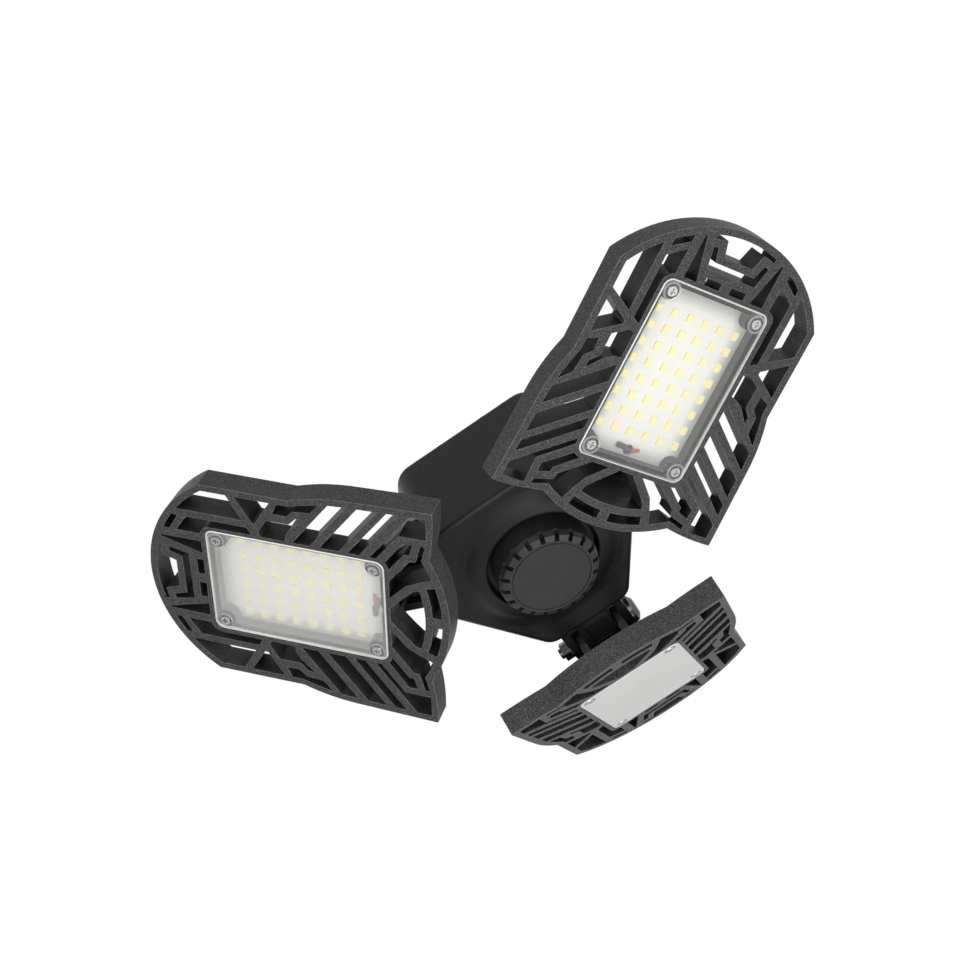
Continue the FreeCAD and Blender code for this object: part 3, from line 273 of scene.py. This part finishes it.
def frosted(number):
    """Frosted polycarbonate: clearer face on and whiter at a slant, with clear screw bosses and
    a rim given a painted glow.
    """
    m = Mat("frosted_lens_%d" % number)
    m.colour(m.ramp(m.noise(45, 3.0), [(0.3, (0.80, 0.812, 0.79)), (0.7, (0.85, 0.855, 0.83))]))
    m.rough(m.spread(m.noise(800), 0.28, 0.40))
    m.bump(m.noise(5200), 0.10, 0.03 * MM)
    # one direction for the whole lens, so that its rounded edges don't show as a ring
    turn = m.add("ShaderNodeVectorTransform", vector_type="NORMAL", convert_from="OBJECT",
                 convert_to="WORLD")
    turn.inputs["Vector"].default_value = panel_frame(number).to_3x3().col[2]
    slant = m.add("ShaderNodeLayerWeight")
    m.link(turn.outputs["Vector"], slant.inputs["Normal"])
    face = m.band(slant.outputs["Facing"], 0.15, 0.62, 0.08, 0.95)
    places = [m.math("ABSOLUTE", m.along(number, axis)) for axis in (0, 1)]
    reach = m.length(*[m.math("SUBTRACT", place, mark)
                       for place, mark in zip(places, SCREW_REACH)])
    boss = m.math("MULTIPLY", m.band(reach, SCREW_BOSS[0], SCREW_BOSS[1]),
                  m.band(reach, SCREW_BOSS[3], SCREW_BOSS[2]))
    boss = m.math("MULTIPLY", boss, 0.34)
    corner = [m.math("MAXIMUM", m.math("SUBTRACT", place, half - LENS_CORNER), 0.0)
              for place, half in zip(places, LENS_HALF)]
    rim = m.band(m.length(*corner), LENS_CORNER - LENS_RIM[1], LENS_CORNER - LENS_RIM[0],
                 0.0, 0.92)
    m.link(m.math("MAXIMUM", rim, m.math("MAXIMUM", face, boss)), m.bsdf.inputs["Alpha"])
    # painted glow: the rim emits a little white light of its own
    m.link(m.math("MULTIPLY", rim, 0.25), m.bsdf.inputs["Emission Strength"])
    m.set(IOR=1.49, Emission_Color=(1.0, 1.0, 1.0, 1.0))
    return m.mat


def led_glow(m, number):
    """1 at the middle of each LED of a panel, fading to 0 just outside it."""
    gaps = []
    inside = 1.0
    for axis, (count, pitch) in enumerate(zip(LED_COUNT, LED_PITCH)):
        place = m.along(number, axis)
        wrap = m.add("ShaderNodeMath", operation="WRAP")
        m.link(place, wrap.inputs[0])
        wrap.inputs[1].default_value = pitch
        wrap.inputs[2].default_value = 0.0
        gaps.append(m.math("SUBTRACT", wrap.outputs[0], pitch / 2))
        within = m.math("LESS_THAN", m.math("ABSOLUTE", place), pitch * count / 2)
        inside = m.math("MULTIPLY", within, inside)
    glow_end, glow_full = 2.9 * MM, 0.8 * MM
    return m.math("MULTIPLY", m.band(m.length(*gaps), glow_end, glow_full), inside)


def led_board(number):
    """White solder mask: painted shade towards the pocket's walls, a painted warm glow round
    each LED, and a faint painted glow of its own.
    """
    m = Mat("white_solder_mask_%d" % number)
    white = m.ramp(m.noise(300, 3.0), [(0.3, (0.84, 0.84, 0.81)), (0.7, (0.88, 0.88, 0.85))])
    shade_reach = 8.0 * MM
    near = [m.band(m.math("SUBTRACT", half, m.math("ABSOLUTE", m.along(number, axis))),
                   0.0, shade_reach, 0.30, 1.0)
            for axis, half in enumerate(BOARD_HALF)]
    # painted shade: the board darkens to grey-green towards the pocket's walls
    white = m.mix(m.math("MULTIPLY", *near), (0.22, 0.235, 0.225), white)
    # painted glow: warm yellow spread round each LED
    tone = m.mix(led_glow(m, number), white, (0.99, 0.89, 0.48))
    m.colour(tone)
    m.link(tone, m.bsdf.inputs["Emission Color"])
    m.rough(m.spread(m.noise(600), 0.35, 0.50))
    # painted glow: the board emits a little of its own colour
    m.set(Emission_Strength=0.08)
    return m.mat


def led_chip(number):
    """White LED cases, each with a round window of yellow phosphor, and a faint painted glow."""
    m = Mat("phosphor_%d" % number)
    case = m.ramp(m.noise(900), [(0.3, (0.82, 0.82, 0.79)), (0.7, (0.87, 0.87, 0.84))])
    tone = m.mix(led_glow(m, number), case, (1.0, 0.88, 0.40))
    m.colour(tone)
    m.link(tone, m.bsdf.inputs["Emission Color"])
    m.rough(m.spread(m.noise(900), 0.35, 0.50))
    # painted glow: the chips emit a little of their own colour
    m.set(Emission_Strength=0.12)
    return m.mat


def steel(name, tone, low, high):
    """Plated or blackened metal of a given grey."""
    m = Mat(name)
    m.colour(m.ramp(m.noise(300, 3.0), [(0.3, grey(tone * 0.86)), (0.7, grey(tone))]))
    m.rough(m.spread(m.noise(900, 3.0), low, high))
    m.bump(m.noise(2400), 0.08, 0.04 * MM)
    m.set(Metallic=1.0)
    return m.mat


def plain(name, colour, low, high, scale=400, variation=0.12):
    """Moulded, dyed or lacquered surface with light colour and gloss variation."""
    m = Mat(name)
    dark = tuple(c * (1 - variation) for c in colour)
    m.colour(m.ramp(m.noise(scale, 3.0), [(0.3, dark), (0.7, colour)]))
    m.rough(m.spread(m.noise(scale * 2), low, high))
    m.bump(m.noise(scale * 6), 0.10, 0.04 * MM)
    return m.mat


COAT = powder_coat()
BLACK = black_coat()
CAP = cap_plastic()
ZINC = steel("bright_zinc", 0.42, 0.28, 0.42)
NICKEL = steel("nickel_shell", 0.74, 0.20, 0.36)
DARK_STEEL = steel("black_oxide", 0.10, 0.30, 0.45)
GREY_STEEL = steel("dull_zinc", 0.24, 0.26, 0.40)
TIN = steel("tinned_contact", 0.60, 0.30, 0.50)
CASE = plain("white_case", (0.85, 0.85, 0.83), 0.35, 0.5, 300, 0.03)
RUBBER = plain("black_rubber", (0.02, 0.02, 0.02), 0.55, 0.7)
GREEN = plain("green_solder_mask", (0.02, 0.16, 0.07), 0.3, 0.45)
RED = plain("red_lead", (0.62, 0.03, 0.02), 0.3, 0.45)
BLACK_LEAD = plain("black_lead", (0.02, 0.02, 0.02), 0.3, 0.45)
INSULATOR = plain("black_glaze", (0.018, 0.018, 0.02), 0.10, 0.22, 200)
COIL = plain("copper_enamel", (0.45, 0.20, 0.06), 0.25, 0.4)

FINISH = {
    "driver_housing": BLACK, "back_cover": BLACK, "vent_cap": CAP, "screw_shell": NICKEL,
    "base_insulator": INSULATOR, "centre_contact": TIN, "driver_board": GREEN,
    "filter_coil": COIL, "filter_capacitors": BLACK_LEAD, "bridge_rectifier": BLACK_LEAD,
    "output_connectors": CASE, "input_fuse": CASE, "cover_screws": DARK_STEEL,
    "heat_sink": COAT, "lens_screws": ZINC, "lead_grommet": RUBBER, "red_lead": RED,
    "black_lead": BLACK_LEAD, "hinge_bolt": DARK_STEEL, "hinge_washers": GREY_STEEL,
    "hinge_nut": DARK_STEEL,
}
for number in PANELS:
    FINISH["lens_%d" % number] = frosted(number)
    FINISH["led_board_%d" % number] = led_board(number)
    FINISH["led_chips_%d" % number] = led_chip(number)


def finish_of(name):
    """The finish of a node, named with or without its panel's number."""
    return FINISH.get(name) or FINISH[name.rsplit("_", 1)[0]]


def paint(obj, material):
    obj.data.materials.clear()
    obj.data.materials.append(material)


for name, obj in nodes.items():
    paint(obj, finish_of(name))

# ---- detailed pieces in place of plain CAD ones --------------------------------------


def new_piece(name, points, faces, material, body, stands_for):
    """A smooth mesh piece in the row frame that rides with a body, in place of a CAD node."""
    mesh = bpy.data.meshes.new(name)
    mesh.from_pydata(points, [], faces)
    mesh.update()
    for polygon in mesh.polygons:
        polygon.use_smooth = True
    obj = bpy.data.objects.new(name, mesh)
    bpy.context.scene.collection.objects.link(obj)
    paint(obj, material)
    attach(obj, body)
    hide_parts(stands_for)


def threaded_shell():
    """The screw shell with its rolled thread, as a closed tube; measures in millimetres."""
    around, rows = 72, 72
    radius, height, wall = 13.0, 24.0, 0.45
    pitch, depth, run_out = 3.6, 0.62, 1.5
    points = []
    for side in (0.0, wall):
        for row in range(rows + 1):
            z = height * row / rows
            fade = min(1.0, z / run_out, (height - z) / run_out)
            for step in range(around):
                turn = step / around
                dip = depth * 0.5 * (1.0 - math.cos(2 * math.pi * (z / pitch - turn)))
                reach = radius - side - dip * max(fade, 0.0)
                angle = 2 * math.pi * turn
                x, y = reach * math.cos(angle), reach * math.sin(angle)
                points.append(Vector((x, y, z)) * MM)
    layer = (rows + 1) * around
    faces = []
    for row in range(rows):
        for step in range(around):
            a, b = row * around + step, row * around + (step + 1) % around
            faces.append((a, b, b + around, a + around))
            faces.append((layer + a, layer + a + around, layer + b + around, layer + b))
    for row, flip in ((0, False), (rows, True)):
        for step in range(around):
            a, b = row * around + step, row * around + (step + 1) % around
            quad = (a, layer + a, layer + b, b)
            faces.append(quad[::-1] if flip else quad)
    new_piece("screw_shell_thread", points, faces, NICKEL, "driver_body", "screw_shell")


threaded_shell()

# a box's faces, from its four lower corners and then its four upper ones
BOX_FACES = ((3, 2, 1, 0), (4, 5, 6, 7), (0, 1, 5, 4), (1, 2, 6, 5), (2, 3, 7, 6), (3, 0, 4, 7))


def recessed(node_name, body, places, size, depth):
    """A copy of a screw node with a cross recess cut into each head, in its place."""
    mesh = nodes[node_name].data.copy()
    obj = bpy.data.objects.new(node_name + "_driven", mesh)
    bpy.context.scene.collection.objects.link(obj)
    blade = size * 0.24
    points, faces = [], []
    for place in places:
        for half_x, half_y in ((size, blade), (blade, size)):
            start = len(points)
            corners = [(x, y, z) for z in (-depth, depth) for x, y in
                       ((-half_x, -half_y), (half_x, -half_y),
                        (half_x, half_y), (-half_x, half_y))]
            points += [place @ Vector(corner) for corner in corners]
            faces += [tuple(start + i for i in face) for face in BOX_FACES]
    cutter_mesh = bpy.data.meshes.new(node_name + "_cutter")
    cutter_mesh.from_pydata(points, [], faces)
    cutter = bpy.data.objects.new(node_name + "_cutter", cutter_mesh)
    bpy.context.scene.collection.objects.link(cutter)
    cut = obj.modifiers.new("cut", "BOOLEAN")
    cut.object = cutter
    cut.use_self = True
    bpy.context.view_layer.update()
    graph = bpy.context.evaluated_depsgraph_get()
    done = bpy.data.meshes.new_from_object(obj.evaluated_get(graph))
    obj.modifiers.clear()
    obj.data = done
    bpy.data.objects.remove(cutter)
    paint(obj, finish_of(node_name))
    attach(obj, body)
    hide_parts(node_name)


LENS_HEAD_TOP = -0.3 * MM
COVER_HEAD = Vector((44.0, 0.0, -12.6)) * MM
COVER_TURNS = (26.0, 146.0, 266.0)

for number in PANELS:
    heads = [panel_frame(number) @ Matrix.Translation(
                 LENS_CENTRE + Vector((x * SCREW_REACH[0], y * SCREW_REACH[1], LENS_HEAD_TOP)))
             for x in (-1, 1) for y in (-1, 1)]
    recessed("lens_screws_%d" % number, "panel_%d" % number, heads, 1.35 * MM, 0.75 * MM)
heads = [Matrix.Rotation(math.radians(turn), 4, "Z") @ Matrix.Translation(COVER_HEAD)
         for turn in COVER_TURNS]
recessed("cover_screws", "driver_body", heads, 1.5 * MM, 0.9 * MM)


def tube(points, radius, sides=12):
    """Points and faces of a round closed rod along a path."""
    ring_points, faces = [], []
    for index, point in enumerate(points):
        before = points[max(index - 1, 0)]
        after = points[min(index + 1, len(points) - 1)]
        turn = (after - before).to_track_quat("Z", "Y")
        for step in range(sides):
            angle = 2 * math.pi * step / sides
            offset = Vector((math.cos(angle), math.sin(angle), 0.0)) * radius
            ring_points.append(point + turn @ offset)
    for row in range(len(points) - 1):
        for step in range(sides):
            a, b = row * sides + step, row * sides + (step + 1) % sides
            faces.append((a, b, b + sides, a + sides))
    faces.append(tuple(range(sides))[::-1])
    faces.append(tuple((len(points) - 1) * sides + step for step in range(sides)))
    return ring_points, faces


def lead_tails(number):
    """The two leads that come out of the grommet and bend over to their solder pads.

    A path starts in the panel, at Z -15, and ends over its pad, reach to the side.
    """
    place = panel_frame(number)
    for name, side, reach, radius, material, slot in (
            ("red_lead", 1, 4.2, 0.80, RED, "red_pvc"),
            ("black_lead", -1, 6.8, 1.25, BLACK_LEAD, "black_pvc")):
        path = [(0.0, side * 0.95, -15.0), (0.0, side * 0.95, -19.6), (0.1, side * 1.0, -20.4),
                (0.4, side * 1.35, -21.1), (0.8, side * 2.1, -21.3), (1.1, side * 3.1, -21.0),
                (1.2, side * reach, -20.6)]
        points, faces = tube([Vector(p) * MM for p in path], radius * MM)
        points = [place @ point for point in points]
        new_piece("%s_tail_%d" % (name, number), points, faces, material,
                  "panel_%d" % number, "%s_%d" % (name, number))


for number in PANELS:
    lead_tails(number)

# ---- surroundings ----------------------------------------------------------------

AMBIENT = 0.16
FLOOR_Z = -1.4
FLOOR_HALF = 6.0
FLOOR_GLOW = 0.55

# white to the camera, in gloss and through glass, and dim as a light
world = bpy.data.worlds.new("studio")
bpy.context.scene.world = world
world.use_nodes = True
tree = world.node_tree
path = tree.nodes.new("ShaderNodeLightPath")
sky = tree.nodes["Background"]
sky.inputs["Color"].default_value = (1.0, 1.0, 1.0, 1.0)
level = tree.nodes.new("ShaderNodeMapRange")
seen = path.outputs["Is Camera Ray"]
for kind in ("Is Glossy Ray", "Is Transmission Ray"):
    either = tree.nodes.new("ShaderNodeMath")
    either.operation = "MAXIMUM"
    tree.links.new(seen, either.inputs[0])
    tree.links.new(path.outputs[kind], either.inputs[1])
    seen = either.outputs[0]
tree.links.new(seen, level.inputs["Value"])
level.inputs["To Min"].default_value = AMBIENT
level.inputs["To Max"].default_value = 1.0
tree.links.new(level.outputs["Result"], sky.inputs["Strength"])

floor_mesh = bpy.data.meshes.new("floor")
bm = bmesh.new()
bmesh.ops.create_grid(bm, x_segments=1, y_segments=1, size=FLOOR_HALF)
bm.to_mesh(floor_mesh)
bm.free()
floor = bpy.data.objects.new("floor", floor_mesh)
floor.location = (0, 0, FLOOR_Z)
bpy.context.scene.collection.objects.link(floor)
floor_mat = plain("pale_floor", (0.80, 0.80, 0.80), 0.6, 0.8, 3, 0.02)
floor_mesh.materials.append(floor_mat)
# its glow is for the camera alone, so that it looks pale and adds no light
tree = floor_mat.node_tree
shader = tree.nodes["Principled BSDF"]
shader.inputs["Emission Color"].default_value = (1.0, 1.0, 1.0, 1.0)
glow = tree.nodes.new("ShaderNodeMath")
glow.operation = "MULTIPLY"
glow.inputs[1].default_value = FLOOR_GLOW
tree.links.new(tree.nodes.new("ShaderNodeLightPath").outputs["Is Camera Ray"], glow.inputs[0])
tree.links.new(glow.outputs[0], shader.inputs["Emission Strength"])
floor.visible_glossy = False


MIDDLE = Vector((0.0, 0.0, -0.05))


def from_camera(along, across, rise):
    """A place given from the lamp: towards the camera, to the picture's right, and up in it."""
    return MIDDLE - look * along + right * across + up * rise


def area_light(name, place, size, power):
    """A soft box that faces the lamp."""
    data = bpy.data.lights.new(name, "AREA")
    data.shape = "RECTANGLE"
    data.size = size[0]
    data.size_y = size[1]
    data.energy = power
    obj = bpy.data.objects.new(name, data)
    obj.location = place
    aim = (MIDDLE - place).to_track_quat("-Z", "Y")
    obj.rotation_euler = aim.to_euler()
    bpy.context.scene.collection.objects.link(obj)


area_light("key", from_camera(1.0, -0.35, -0.15), (0.7, 0.7), 6.5)
area_light("fill", from_camera(0.8, 0.6, -0.3), (0.9, 0.9), 6.0)
area_light("top", from_camera(-0.15, 0.1, 1.1), (0.9, 0.5), 1.0)

# ---- render settings that belong to the look ---------------------------------------

bpy.context.scene.view_settings.view_transform = "Standard"
